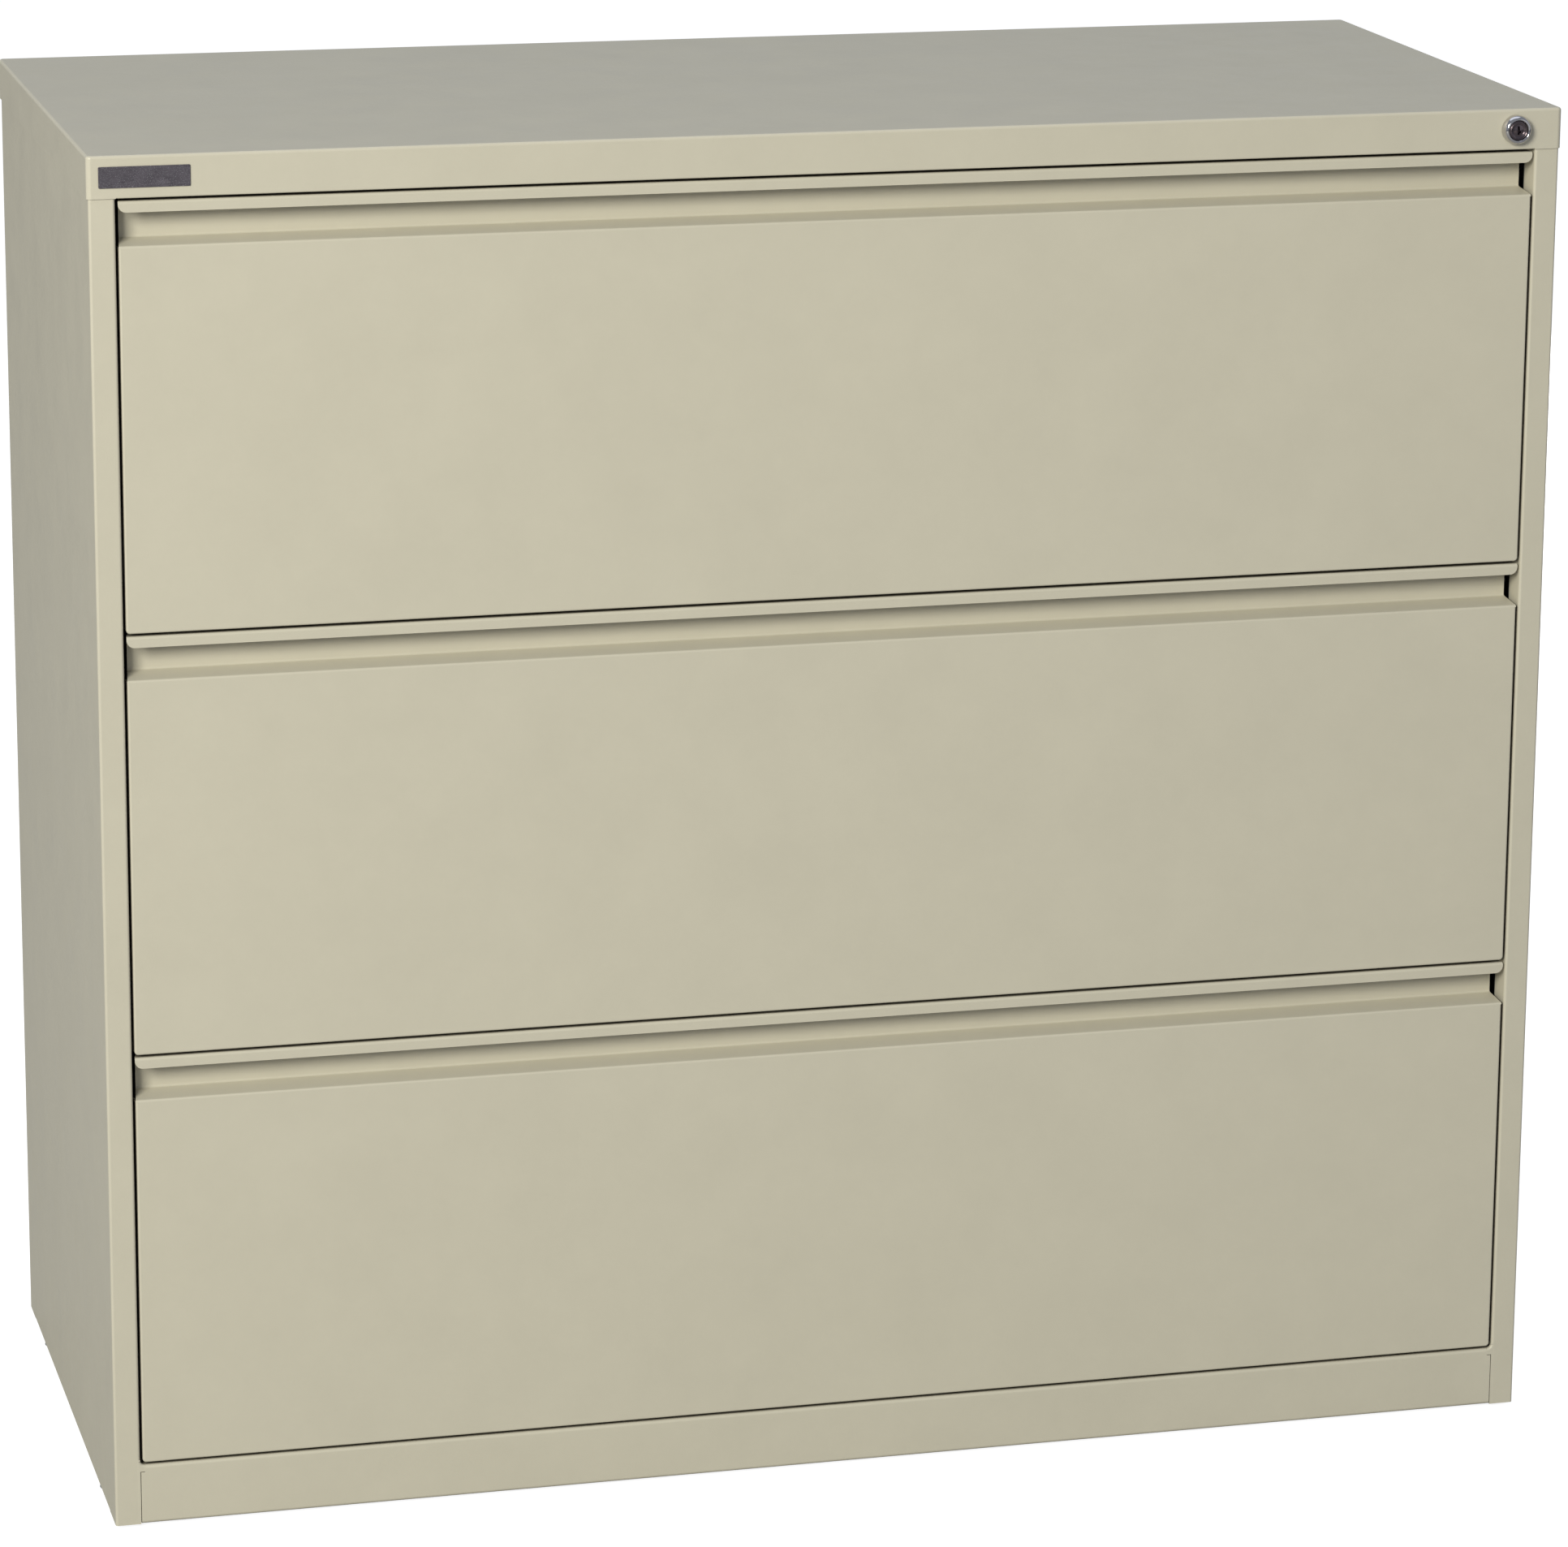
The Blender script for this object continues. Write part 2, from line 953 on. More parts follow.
@dataclass(frozen=True)
class Bore:
    """A square hole through a piece."""

    centre: Vector
    size: Vector

    def tool(self) -> bpy.types.Object:
        """Makes the block that cuts the hole.

        Returns:
            The cutting block.
        """
        half = self.size / 2
        block = Sheet.block(self.centre - half, self.centre + half)
        return into_scene("bore", into_data("bore", block.mesh))


@dataclass(frozen=True)
class Trim:
    """How a new piece is finished off."""

    finish: Finish
    body: str
    stands_for: tuple[str, ...] = ()
    slot: str | None = None
    gauge: float = 0.0
    edge: float = 0.0
    bores: tuple[Bore, ...] = ()


def painted_sheet(node: str, edge: float) -> Trim:
    """How a painted sheet of the case is finished off.

    Args:
        node: The frame's node that it stands for.
        edge: The radius left on its cut edges.

    Returns:
        The trim.
    """
    return Trim(Finish.PAINT, CASE, (node,), "case_paint", GAUGE, edge)


def publish(name: str, mesh: bmesh.types.BMesh, trim: Trim) -> None:
    """Turns a mesh under construction into a piece that rides on a body.

    Args:
        name: The piece's name.
        mesh: Its mesh, which is used up.
        trim: How it is finished.
    """
    bmesh.ops.dissolve_degenerate(mesh, dist=NEAR / 2, edges=mesh.edges)
    data = into_data(name, mesh)
    data.shade_smooth()
    piece = into_scene(name, data)
    data.materials.append(material(trim.finish))
    if trim.gauge:
        solid = piece.modifiers.new("gauge", "SOLIDIFY")
        solid.thickness = trim.gauge
        solid.offset = -1
        solid.use_even_offset = True
    tools = [bore.tool() for bore in trim.bores]
    for tool in tools:
        cut = piece.modifiers.new("bore", "BOOLEAN")
        cut.operation = "DIFFERENCE"
        cut.solver = "EXACT"
        cut.object = tool
    if trim.edge:
        soft = piece.modifiers.new("edges", "BEVEL")
        soft.width = trim.edge
        soft.segments = EDGE_STEPS
        soft.limit_method = "ANGLE"
        soft.angle_limit = EDGE_ANGLE
    settle(piece)
    for tool in tools:
        bpy.data.objects.remove(tool)
    if trim.stands_for:
        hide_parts(*trim.stands_for)
    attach(piece, trim.body)
    log.info("made %s: %d faces", name, len(piece.data.polygons))


def settle(piece: bpy.types.Object) -> None:
    """Applies a piece's modifiers and gives its flats flat, its bends smooth shading.

    Args:
        piece: The piece.
    """
    bpy.context.view_layer.update()
    graph = bpy.context.evaluated_depsgraph_get()
    baked = bpy.data.meshes.new_from_object(piece.evaluated_get(graph))
    old = piece.data
    piece.modifiers.clear()
    piece.data = baked
    bpy.data.meshes.remove(old)
    baked.name = piece.name
    mesh = bmesh.new()
    mesh.from_mesh(baked)
    for edge in mesh.edges:
        if len(edge.link_faces) == 2:
            edge.smooth = edge.calc_face_angle(0) < SHARP
    for face in mesh.faces:
        face.smooth = True
    mesh.to_mesh(baked)
    mesh.free()
    weight = piece.modifiers.new("flats", "WEIGHTED_NORMAL")
    weight.mode = "FACE_AREA"
    weight.weight = FLAT_WEIGHT
    weight.keep_sharp = True


# --- Shared places ---------------------------------------------------------------
# HEM is the gap that neighbouring sheets keep, and HAIR the smallest clearance.
CASE = "case"
HEM = 0.0005
HAIR = 0.0001
GAUGE = 0.0008
HEAVY_GAUGE = 0.0012
TIGHT_ROLL = GAUGE * 1.4
CAP = Room.of("top_cap")
WALL = Room.of("left_side_panel")
PLINTH = Room.of("base_plinth")
PLATE = Room.of("badge_plate")
BARREL = Room.of("lock_barrel")
PLUG = Room.of("lock_plug")
HALF = CAP.high.x
FACE = WALL.low.y
BASE = WALL.low.z
STILE_WIDTH = 0.0195
OPENING = HALF - STILE_WIDTH
STILE_ROLL = 0.0020


# --- Case ------------------------------------------------------------------------
@dataclass
class TopCap:
    """The lid: a drawn pan over the sides, with a return behind its front band."""

    corner: float = 0.0036
    edge: float = 0.0022
    fold_back: float = 0.0120
    lock_clearance: float = 0.0006
    barrel_radius: float = 0.0092
    cut_edge: float = 0.00016

    def build(self) -> None:
        """Makes the lid."""
        inner = OPENING - HEM
        front, low = CAP.low.y, CAP.low.z
        hem_z = low + TIGHT_ROLL
        sheet = Sheet.block(CAP.low, CAP.high)
        sheet.open(Facing.DOWN)
        for x in (-inner, inner):
            sheet.slice((x, 0, 0), Facing.RIGHT, Facing.FRONT)

        def between(middle: Vector) -> bool:
            """Between the stiles."""
            return abs(middle.x) < inner

        sheet.slice((0, 0, hem_z), Facing.UP, Facing.FRONT, between)
        sheet.trim_off(lambda p: near(p.y, front) and between(p) and p.z < hem_z)

        def hem(point: Vector) -> bool:
            """On the lower front edge, between the stiles."""
            on_edge = near(point.y, front) and near(point.z, hem_z)
            return on_edge and abs(point.x) < inner + NEAR

        sheet.flange(hem, *rolled_under(TIGHT_ROLL), (0, self.fold_back, 0))
        sheet.bend(lambda p: not between(p) and p.z < CAP.high.z - NEAR, self.corner, steps=8)
        sheet.bend(lambda p: near(p.z, CAP.high.z), self.edge, steps=7)
        hole = Vector((BARREL.middle.x, front, BARREL.middle.z))
        sheet.punch(hole, self.barrel_radius + self.lock_clearance / 2, Facing.FRONT)
        publish("cap", sheet.mesh, painted_sheet("top_cap", self.cut_edge))


@dataclass
class SideWall:
    """A side of the case: stile, wall, rear flange and foot flange in one sheet."""

    side: Side
    stile_return: float = 0.020
    rear_flange: float = 0.0175
    foot_flange: float = 0.017
    foot_start: float = 0.030
    stud_hole: float = 0.009
    cut_edge: float = 0.00014

    def build(self) -> None:
        """Makes the side."""
        outer = -WALL.low.x
        rear = WALL.high.y
        points = [
            (-OPENING, FACE + self.stile_return, BASE),
            (-OPENING, FACE, BASE),
            (-outer, FACE, BASE),
            (-outer, rear, BASE),
            (-outer + self.rear_flange, rear, BASE),
        ]
        sheet = Sheet.run(points, (0, 0, WALL.size.z), Facing.RIGHT)
        sheet.bend(anywhere, STILE_ROLL, steps=7)
        for y in (FACE + self.foot_start, rear - self.foot_start):
            sheet.slice((0, y, 0), Facing.BACK, Facing.LEFT)

        def foot(point: Vector) -> bool:
            """On the lower edge of the wall, clear of both ends."""
            on_edge = near(point.x, -outer) and near(point.z, BASE)
            inside = FACE + self.foot_start - NEAR < point.y
            return on_edge and inside and point.y < rear - self.foot_start + NEAR

        sheet.flange(foot, (self.foot_flange, 0, 0))
        sheet.bend(foot, TIGHT_ROLL)
        for end in ("front", "rear"):
            stud = Room.of(f"glide_left_{end}").middle
            hole = Vector((stud.x, stud.y, BASE))
            sheet.punch(hole, self.stud_hole / 2, Facing.DOWN)
        sheet.turn_to(self.side)
        trim = painted_sheet(f"{self.side.word}_side_panel", self.cut_edge)
        publish(f"side_wall_{self.side.word}", sheet.mesh, trim)


@dataclass
class StileFoot:
    """The welded corner plate that carries a stile round onto the plinth."""

    side: Side
    web_start: float = 0.0032
    web_end: float = 0.0280
    tab_low: float = 0.0399
    round: float = 0.0034
    depth: float = 0.0030
    roll: float = 0.0018

    @property
    def inner(self) -> float:
        """Where the plate's tab ends, from the middle."""
        return OPENING - self.round

    def build(self) -> None:
        """Makes the corner plate."""
        sheet = Sheet()
        mesh = sheet.mesh
        flat = OPENING + STILE_ROLL
        high = PLINTH.high.z
        low = BASE + self.tab_low
        outline = [
            (flat, BASE),
            (OPENING, BASE),
            (OPENING, low),
            (self.inner, low),
            (self.inner, high),
            (OPENING, high),
            (OPENING, high + self.round),
            (flat, high + self.round + STILE_ROLL),
        ]
        corners = [mesh.verts.new((-x, FACE, z)) for x, z in outline]
        plate = mesh.faces.new(corners)
        sheet.face_out(lambda face: face is plate, Facing.FRONT)
        sheet.round_corners(
            lambda p: near(p.x, -OPENING) and near(p.z, high), self.round, steps=8
        )
        grown = bmesh.ops.extrude_face_region(mesh, geom=mesh.faces[:])["geom"]
        bmesh.ops.translate(mesh, vec=(0, self.depth, 0), verts=verts_of(grown))
        bmesh.ops.recalc_face_normals(mesh, faces=mesh.faces)
        rolled = [
            edge
            for edge in mesh.edges
            if all(near(vert.co.y, FACE) for vert in edge.verts)
            and all(vert.co.z > high - NEAR for vert in edge.verts)
        ]
        bevel(mesh, rolled, self.roll, steps=5)
        web = Sheet.block(
            Vector((HAIR - OPENING, FACE + self.web_start, BASE + 2 * GAUGE)),
            Vector((-self.inner - HAIR, FACE + self.web_end, high - HAIR)),
        )
        spare = into_data("web", web.mesh)
        mesh.from_mesh(spare)
        bpy.data.meshes.remove(spare)
        sheet.turn_to(self.side)
        trim = Trim(Finish.PAINT, CASE, slot="case_paint")
        publish(f"stile_foot_{self.side.word}", mesh, trim)


@dataclass
class Plinth:
    """The base channel between the stiles, notched round their corner plates."""

    foot: StileFoot
    depth: float = 0.030
    lip: float = 0.009
    roll: float = 0.0026
    cut_edge: float = 0.00012

    def build(self) -> None:
        """Makes the plinth."""
        left, high = PLINTH.low.x, PLINTH.high.z
        points = [
            (left, FACE + self.depth - self.lip, BASE),
            (left, FACE, BASE),
            (left, FACE, high),
            (left, FACE + self.depth, high),
            (left, FACE + self.depth, high - self.lip),
        ]
        sheet = Sheet.run(points, (-2 * left, 0, 0), Facing.DOWN)
        sheet.bend(anywhere, self.roll, steps=7)
        limit = self.foot.inner
        notch = BASE + self.foot.tab_low - HEM
        sheet.slice((0, 0, notch), Facing.UP)
        for x in (-limit, limit):
            sheet.slice((x, 0, 0), Facing.RIGHT)
        sheet.trim_off(lambda p: abs(p.x) > limit and p.z > notch)
        trim = painted_sheet("base_plinth", self.cut_edge)
        publish("plinth", sheet.mesh, trim)


@dataclass
class BackSheet:
    """The rear sheet, with a pressed field and a row of rivets down each side."""

    border: float = 0.042
    press: float = 0.0022
    press_roll: float = 0.00198
    ramp: float = 0.006
    rivet_rows: int = 7
    rivet_inset: float = 0.011
    rivet_radius: float = 0.0036
    rivet_rise: float = 0.0009
    cut_edge: float = 0.00014

    def build(self) -> None:
        """Makes the sheet and its rivets."""
        room = Room.of("back_panel")
        sheet = Sheet.block(room.low, room.high)
        sheet.open(*(way for way in Facing if way is not Facing.BACK))
        mesh = sheet.mesh
        bmesh.ops.inset_region(mesh, faces=mesh.faces[:], thickness=self.border)
        field_face = max(mesh.faces, key=lambda face: face.calc_area())
        bmesh.ops.inset_region(
            mesh, faces=[field_face], thickness=self.ramp, depth=-self.press
        )
        sheet.bend(anywhere, self.press_roll, steps=4)
        trim = painted_sheet("back_panel", self.cut_edge)
        publish("back_sheet", mesh, trim)
        self._rivets(room)

    def _rivets(self, room: Room) -> None:
        """The rivet heads down both sides of the sheet."""
        mesh = bmesh.new()
        step = (room.size.z - 2 * self.border) / (self.rivet_rows - 1)
        for x in (room.low.x + self.rivet_inset, room.high.x - self.rivet_inset):
            for row in range(self.rivet_rows):
                centre = Vector((x, room.high.y, room.low.z + self.border + row * step))
                dome(mesh, centre, self.rivet_radius, self.rivet_rise)
        publish("back_rivets", mesh, Trim(Finish.ZINC, CASE, slot="zinc"))


def dome(mesh: bmesh.types.BMesh, centre: Vector, radius: float, rise: float) -> None:
    """Adds a low round head whose top looks backward.

    Args:
        mesh: The mesh that it is added to.
        centre: The middle of the head's foot.
        radius: The foot's radius.
        rise: The head's height.
    """
    made = bmesh.ops.create_uvsphere(mesh, u_segments=14, v_segments=8, radius=1)
    bmesh.ops.scale(mesh, vec=(radius, rise, radius), verts=made["verts"])
    bmesh.ops.translate(mesh, vec=centre, verts=made["verts"])


# --- Drawers ---------------------------------------------------------------------
@dataclass
class DrawerFront:
    """A drawer front: one pan with a full-width recess and a lip over it."""

    number: int
    lip_height: float = 0.0080
    lip_roll: float = 0.0022
    lip_corner: float = 0.0056
    pull_height: float = 0.0314
    pull_rise: float = 0.0035
    pull_inset: float = 0.0027
    panel_roll: float = 0.0014
    panel_corner: float = 0.0028
    fold_back: float = 0.012
    cut_edge: float = 0.00016

    @property
    def node(self) -> str:
        """The frame's node that this front stands for."""
        return f"drawer_{self.number}_front"

    def build(self) -> None:
        """Makes the front."""
        room = Room.of(self.node)
        left, low, top = room.low.x, room.low.z, room.high.z
        sill = top - self.pull_height
        wall = room.high.y
        lip = FACE + GAUGE
        points = [
            (left, FACE + self.fold_back, low),
            (left, FACE, low),
            (left, FACE, sill),
            (left, wall, sill + self.pull_rise),
            (left, wall, top - GAUGE),
            (left, lip, top - GAUGE),
            (left, lip, top - self.lip_height),
        ]
        sheet = Sheet.run(points, (room.size.x, 0, 0), Facing.DOWN)
        mesh = sheet.mesh
        for vert in mesh.verts:
            if near(vert.co.y, wall):
                vert.co.x -= math.copysign(self.pull_inset, vert.co.x)
        sheet.bend(
            lambda p: near(p.z, top - GAUGE) and near(p.y, lip),
            self.lip_roll - GAUGE,
            steps=7,
        )
        sheet.bend(lambda p: near(p.y, wall) and p.z > sill, self.panel_roll, steps=6)
        sheet.bend(lambda p: near(p.z, sill), self.panel_roll, steps=7)

        def side_edge(point: Vector) -> bool:
            """On an upright edge of the panel."""
            return near(point.y, FACE) and near(abs(point.x), abs(left))

        sheet.flange(side_edge, (0, self.fold_back, 0))
        bmesh.ops.remove_doubles(mesh, verts=mesh.verts, dist=NEAR)
        middle_y = FACE + self.fold_back / 2
        sheet.bend(
            lambda p: near(p.y, middle_y) and near(p.z, low), self.panel_corner, steps=7
        )
        sheet.bend(
            lambda p: near(p.y, FACE) and p.z < sill - self.panel_roll - NEAR,
            self.panel_roll,
            steps=6,
        )
        sheet.round_corners(
            lambda p: near(p.z, top - self.lip_height) and near(abs(p.x), abs(left)),
            self.lip_corner,
            steps=8,
        )
        trim = Trim(
            Finish.PAINT,
            f"drawer_{self.number}",
            (self.node,),
            "drawer_paint",
            gauge=GAUGE,
            edge=self.cut_edge,
        )
        publish(f"front_{self.number}", mesh, trim)


@dataclass
class BallCage:
    """The balls between a slide's middle and inner members, in their steel strip."""

    number: int
    side: Side
    balls: int = 9
    pitch: float = 0.0085
    radius: float = 0.00125
    strip: Point = (0.0026, 0.0790, 0.0005)

    def build(self) -> None:
        """Makes both rows of balls with their strips."""
        word = self.side.word
        outer = Room.of(f"slide_{self.number}_middle_{word}")
        inner = Room.of(f"slide_{self.number}_inner_{word}")
        mesh = bmesh.new()
        x = inner.middle.x
        start = inner.low.y + self.pitch
        for sign in (-1, 1):
            inner_z = inner.middle.z + sign * inner.size.z / 2
            outer_z = outer.middle.z + sign * (outer.size.z / 2 - HEAVY_GAUGE)
            level = (inner_z + outer_z) / 2
            for place in range(self.balls):
                made = bmesh.ops.create_icosphere(
                    mesh, subdivisions=1, radius=self.radius
                )
                centre = (x, start + place * self.pitch, level)
                bmesh.ops.translate(mesh, vec=centre, verts=made["verts"])
            made = bmesh.ops.create_cube(mesh, size=1)
            bmesh.ops.scale(mesh, vec=self.strip, verts=made["verts"])
            centre = (x, start + (self.balls - 1) * self.pitch / 2, level)
            bmesh.ops.translate(mesh, vec=centre, verts=made["verts"])
        trim = Trim(Finish.ZINC, f"slide_{self.number}_middle", slot="zinc")
        publish(f"ball_cage_{self.number}_{word}", mesh, trim)


@dataclass
class Drawer:
    """A drawer: its front, and the finishes of its tray, rails and slides."""

    number: int

    def build(self) -> None:
        """Makes the drawer's new pieces and dresses the frame's own."""
        stem = f"drawer_{self.number}"
        dress(Finish.INNER_PAINT, f"{stem}_tray", f"{stem}_back")
        dress(Finish.ZINC, f"{stem}_rail_front", f"{stem}_rail_rear", f"{stem}_striker")
        DrawerFront(self.number).build()
        for side in Side:
            for member in ("outer", "middle", "inner"):
                dress(Finish.ZINC, f"slide_{self.number}_{member}_{side.word}")
            BallCage(self.number, side).build()


# --- Lock and badge --------------------------------------------------------------
def turned(profile: Sequence[Span], at: Vector, steps: int) -> bmesh.types.BMesh:
    """Turns a closed profile round an axis along Y.

    Args:
        profile: Points as (radius, y), with y measured from the axis point.
        at: The axis point.
        steps: The facets round the turn.

    Returns:
        The turned solid.
    """
    mesh = bmesh.new()
    chain = [mesh.verts.new((radius, y, 0)) for radius, y in profile]
    ring = [mesh.edges.new((chain[i - 1], chain[i])) for i in range(len(chain))]
    bmesh.ops.spin(
        mesh,
        geom=chain + ring,
        cent=(0, 0, 0),
        axis=(0, 1, 0),
        angle=math.tau,
        steps=steps,
        use_merge=True,
    )
    bmesh.ops.remove_doubles(mesh, verts=mesh.verts, dist=NEAR / 10)
    bmesh.ops.recalc_face_normals(mesh, faces=mesh.faces)
    bmesh.ops.translate(mesh, vec=at, verts=mesh.verts)
    return mesh


@dataclass
class LockSet:
    """The lock: a domed chrome bezel round a dark turning plug with a keyway."""

    bezel_radius: float = 0.0106
    crown_radius: float = 0.0079
    barrel_radius: float = 0.0090
    plug_radius: float = 0.0070
    clearance: float = 0.0003
    turns: int = 96
    keyway: Point = (0.0015, 0.0080, 0.0062)
    # The keyway's side slot: its shift across and down and its height, as shares.
    ward: Point = (0.6, 0.16, 0.26)
    crown_steps: int = 10
    shoulder: float = 0.28
    # The bezel's mouth, as distances outside the bore and behind the nose.
    mouth: tuple[Span, ...] = ((0.0, 0.0007), (0.0004, 0.0001))
    chamfer: float = 0.0003
    # The plug's face, as shares of its radius and depths behind its middle.
    face_rings: tuple[Span, ...] = (
        (0.18, 0.0001),
        (0.34, 0.0004),
        (0.46, 0.0009),
        (0.60, 0.0010),
        (0.70, 0.0006),
        (0.80, 0.0003),
        (0.88, 0.0006),
        (0.93, 0.0004),
    )
    rim: float = 0.0001
    rim_sink: float = 0.0006
    rim_back: float = 0.0010

    def build(self) -> None:
        """Makes the lock's seen pieces and dresses its works."""
        fingers = [f"lock_finger_{number}" for number in DRAWERS]
        dress(Finish.ZINC, "lock_cam", "lock_bar", "lock_bar_arm", *fingers)
        at = Vector((BARREL.middle.x, 0, BARREL.middle.z))
        self._bezel(at)
        self._plug(at)

    def _bezel(self, at: Vector) -> None:
        """The chrome bezel and its barrel."""
        nose, lip, tail = BARREL.low.y, CAP.low.y - self.clearance, BARREL.high.y
        bore = self.plug_radius + self.clearance
        drop = (lip - nose) * (1 - self.shoulder)
        flare = self.bezel_radius - self.crown_radius
        profile = [(bore + out, nose + back) for out, back in self.mouth]
        for step in range(self.crown_steps + 1):
            turn = step / self.crown_steps * math.pi / 2
            radius = self.crown_radius + math.sin(turn) * flare
            profile.append((radius, nose + (1 - math.cos(turn)) * drop))
        profile += [
            (self.bezel_radius, lip - self.chamfer),
            (self.bezel_radius - self.chamfer, lip),
            (self.barrel_radius, lip),
            (self.barrel_radius, tail),
            (bore, tail),
        ]
        trim = Trim(Finish.CHROME, CASE, ("lock_barrel",), "bezel")
        publish("lock_bezel", turned(profile, at, self.turns), trim)

    def _plug(self, at: Vector) -> None:
        """The dark plug: a raised, ringed face cut by the keyway."""
        face, tail = PLUG.low.y, PLUG.high.y
        radius = self.plug_radius
        rings = [(radius * share, face + sink) for share, sink in self.face_rings]
        profile = [
            (0.0, face),
            *rings,
            (radius - self.rim, face + self.rim_sink),
            (radius, face + self.rim_back),
            (radius, tail),
            (0.0, tail),
        ]
        wide, deep, high = self.keyway
        across, down, share = self.ward
        slot = Bore(Vector((at.x, face, at.z)), Vector(self.keyway))
        wing = Bore(
            Vector((at.x + wide * across, face, at.z - high * down)),
            Vector((wide, deep, high * share)),
        )
        trim = Trim(
            Finish.PLUG, "lock_plug", ("lock_plug",), "plug", bores=(slot, wing)
        )
        publish("lock_core", turned(profile, at, self.turns), trim)


@dataclass
class BadgePlate:
    """A thin plain plate with a raised rim, stuck on the band."""

    corner: float = 0.0007
    rim: float = 0.0008
    sink: float = 0.00012
    edge: float = 0.00018

    def build(self) -> None:
        """Makes the plate."""
        mesh = Sheet.block(PLATE.low, PLATE.high).mesh
        uprights = [
            edge
            for edge in mesh.edges
            if near(edge.verts[0].co.x, edge.verts[1].co.x)
            and near(edge.verts[0].co.z, edge.verts[1].co.z)
        ]
        bevel(mesh, uprights, self.corner, steps=5)
        mesh.normal_update()
        front = [face for face in mesh.faces if looks(face, Facing.FRONT)]
        bevel(mesh, [edge for face in front for edge in face.edges], self.edge, steps=3)
        mesh.normal_update()
        front = max(
            (face for face in mesh.faces if looks(face, Facing.FRONT)),
            key=lambda face: face.calc_area(),
        )
        bmesh.ops.inset_region(mesh, faces=[front], thickness=self.rim)
        bmesh.ops.inset_region(
            mesh, faces=[front], thickness=self.edge, depth=-self.sink
        )
        trim = Trim(Finish.BADGE, CASE, ("badge_plate",), "badge")
        publish("badge", mesh, trim)


def dress_case_works() -> None:
    """Finishes the hidden steel of the case, which keeps the frame's own shapes."""
    dress(Finish.INNER_PAINT, "base_pan")
    dress(Finish.BALLAST, "counterweight")
    for side in Side:
        for end in ("front", "rear"):
            dress(Finish.ZINC, f"{side.word}_{end}_upright", f"glide_{side.word}_{end}")


# --- Studio ----------------------------------------------------------------------
WARM: Colour = (1.0, 0.975, 0.88)
COOL: Colour = (0.92, 0.98, 1.10)
WHITE: Colour = (1.0, 1.0, 1.0)


@dataclass(frozen=True)
class SoftBox:
    """A large soft light aimed at the cabinet, mirrored in shiny metal or not."""

    name: str
    place: Point
    target: Point
    width: float
    height: float
    watts: float
    colour: Colour = WHITE
    mirrored: bool = True

    def build(self) -> None:
        """Makes the light."""
        data = bpy.data.lights.new(self.name, "AREA")
        data.shape = "RECTANGLE"
        data.size = self.width
        data.size_y = self.height
        data.energy = self.watts
        data.color = self.colour
        light = into_scene(self.name, data)
        light.location = self.place
        light.visible_glossy = self.mirrored
        aim = Vector(self.target) - Vector(self.place)
        light.rotation_euler = aim.to_track_quat("-Z", "Y").to_euler()


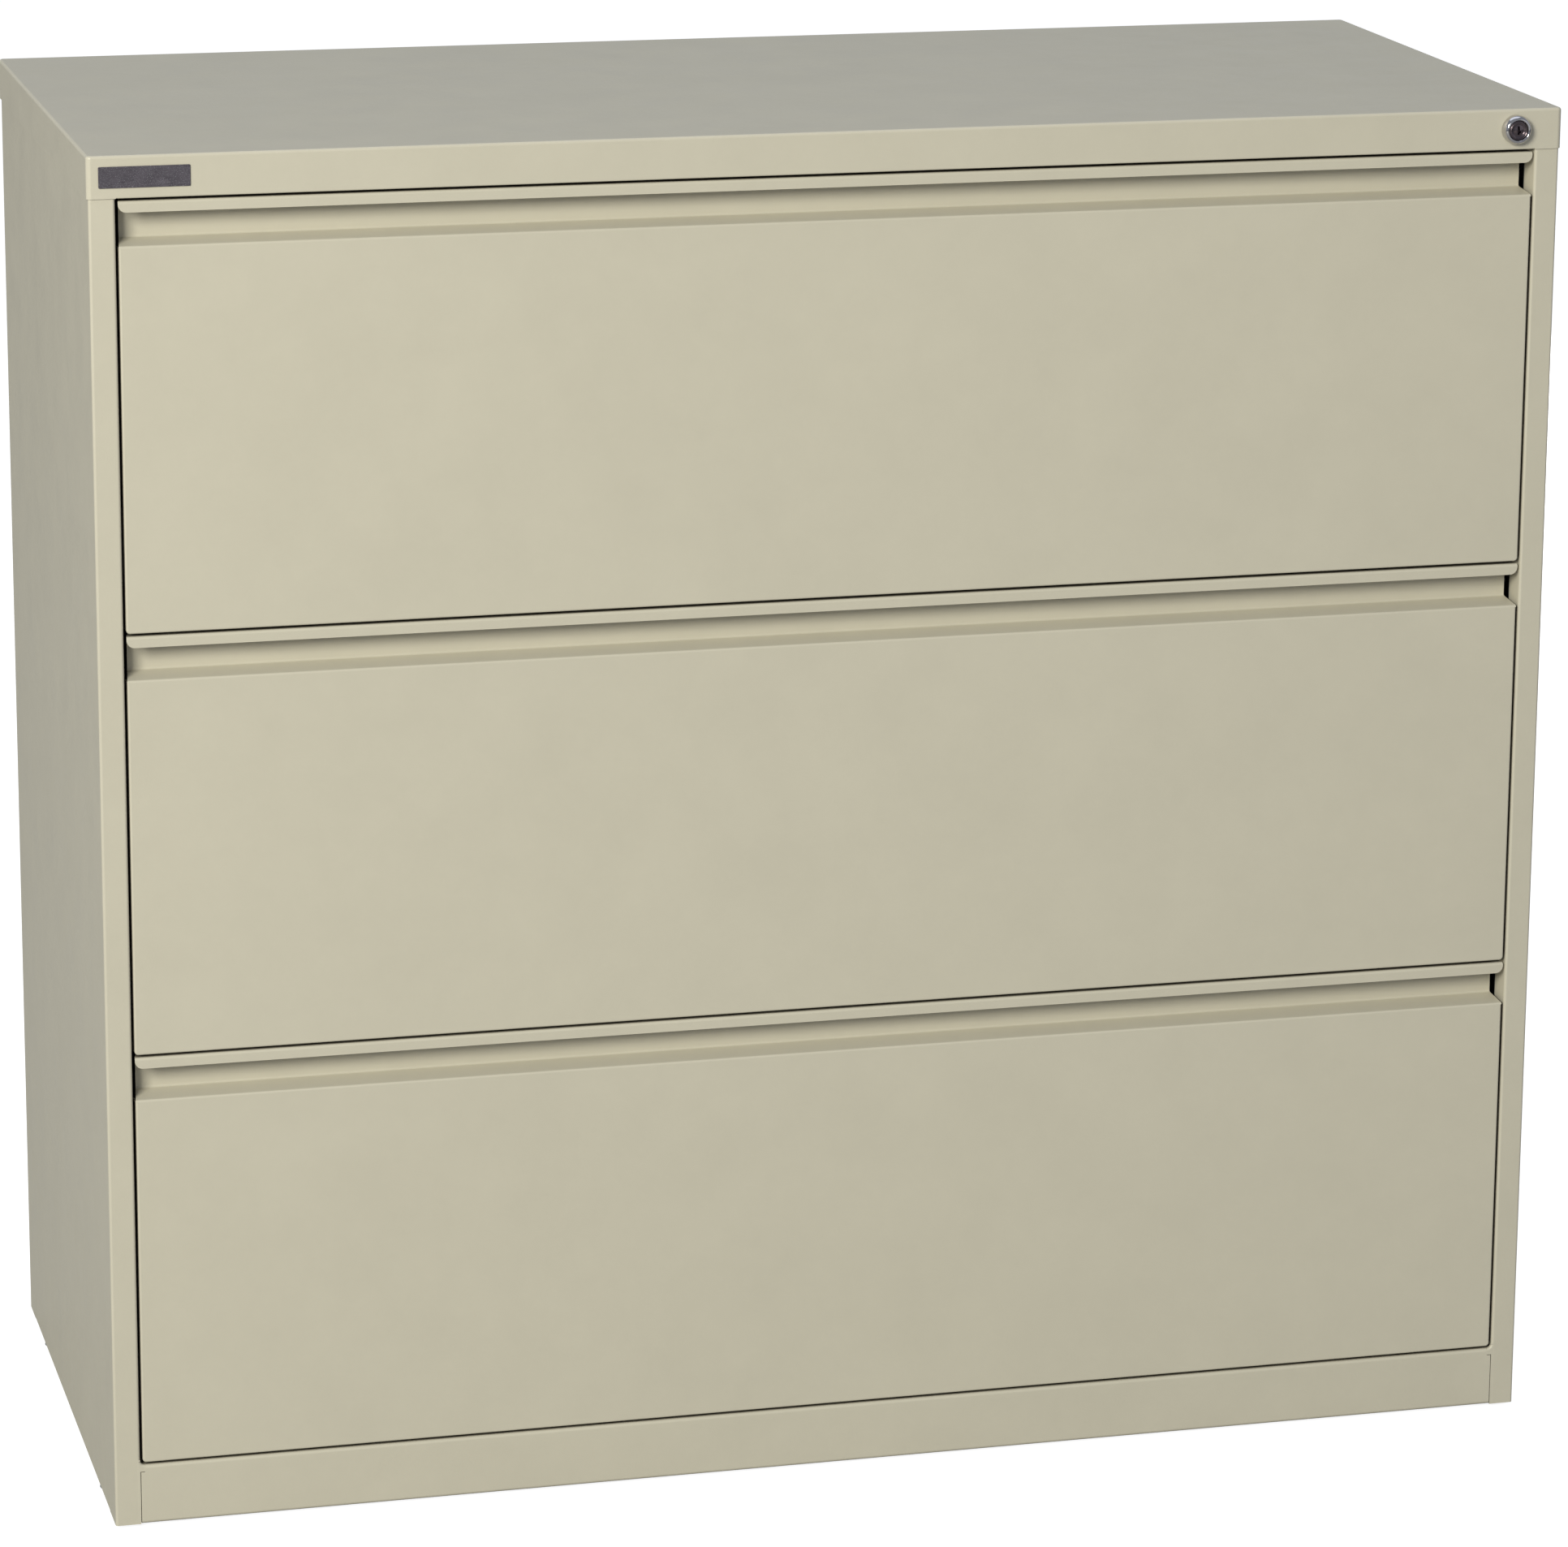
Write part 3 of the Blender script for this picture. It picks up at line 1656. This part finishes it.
@dataclass
class Studio:
    """The camera, the lights, the pale floor and the white surroundings."""

    eye: Point = (-1.07596, -4.23488, 1.64234)
    forward: Point = (0.24228, 0.94088, -0.23674)
    right: Point = (0.96854, -0.24876, 0.00712)
    lens: float = 137.4
    sensor: float = 36.0
    shift_y: float = -0.09
    floor_size: float = 14.0
    ambient: float = 0.31
    backdrop: float = 1.0
    lights: tuple[SoftBox, ...] = (
        SoftBox("key", (-3.5, -4.6, 3.1), (0, 0, 0.5), 2.0, 2.0, 350.0, WARM),
        SoftBox("fill", (3.2, -3.0, 1.6), (0, 0, 0.5), 2.4, 2.4, 5.0),
        SoftBox("top", (0.3, 0.6, 3.4), (0, 0, 0.9), 2.6, 2.0, 13.0, COOL),
        SoftBox("side", (-3.6, 0.9, 1.4), (0, 0, 0.5), 2.0, 2.0, 7.0, COOL),
        SoftBox("right", (3.6, 0.9, 1.2), (0, 0, 0.5), 2.0, 2.0, 10.0, WHITE, False),
        SoftBox("back", (2.6, 3.4, 0.9), (0, 0, 0.5), 2.4, 1.6, 70.0, WHITE, False),
    )

    def build(self) -> None:
        """Makes everything round the cabinet."""
        self._camera()
        for light in self.lights:
            light.build()
        self._floor()
        self._surroundings()
        bpy.context.scene.view_settings.view_transform = "Standard"

    def _camera(self) -> None:
        """The camera, at the height of someone standing in front."""
        data = bpy.data.cameras.new("camera")
        data.lens = self.lens
        data.sensor_width = self.sensor
        data.shift_y = self.shift_y
        camera = into_scene("camera", data)
        right = Vector(self.right).normalized()
        forward = Vector(self.forward).normalized()
        up = right.cross(forward).normalized()
        turn = Matrix((right, up, -forward)).transposed().to_4x4()
        camera.matrix_world = Matrix.Translation(self.eye) @ turn
        bpy.context.scene.camera = camera

    def _floor(self) -> None:
        """The plain pale floor."""
        mesh = bmesh.new()
        bmesh.ops.create_grid(mesh, x_segments=2, y_segments=2, size=self.floor_size)
        data = into_data("floor", mesh)
        data.materials.append(material(Finish.FLOOR))
        floor = into_scene("floor", data)

    def _surroundings(self) -> None:
        """White surroundings that light the cabinet softly from all round."""
        world = bpy.data.worlds.new("studio")
        bpy.context.scene.world = world
        world.use_nodes = True
        tree = world.node_tree
        glow = tree.nodes["Background"]
        glow.inputs["Color"].default_value = (*COOL, 1)
        glow.inputs["Strength"].default_value = self.ambient
        seen = tree.nodes.new("ShaderNodeBackground")
        seen.inputs["Color"].default_value = (1, 1, 1, 1)
        seen.inputs["Strength"].default_value = self.backdrop
        path = tree.nodes.new("ShaderNodeLightPath")
        mix = tree.nodes.new("ShaderNodeMixShader")
        tree.links.new(path.outputs["Is Camera Ray"], mix.inputs["Fac"])
        tree.links.new(glow.outputs["Background"], mix.inputs[1])
        tree.links.new(seen.outputs["Background"], mix.inputs[2])
        tree.links.new(mix.outputs["Shader"], tree.nodes["World Output"].inputs["Surface"])


def main() -> None:
    """Builds the cabinet's looks in order, then the studio."""
    logging.basicConfig(level=logging.INFO, format="%(name)s: %(message)s")
    Studio().build()
    TopCap().build()
    for side in Side:
        SideWall(side).build()
        StileFoot(side).build()
    Plinth(StileFoot(Side.LEFT)).build()
    BackSheet().build()
    dress_case_works()
    for number in DRAWERS:
        Drawer(number).build()
    LockSet().build()
    BadgePlate().build()


if __name__ == "__main__":
    main()
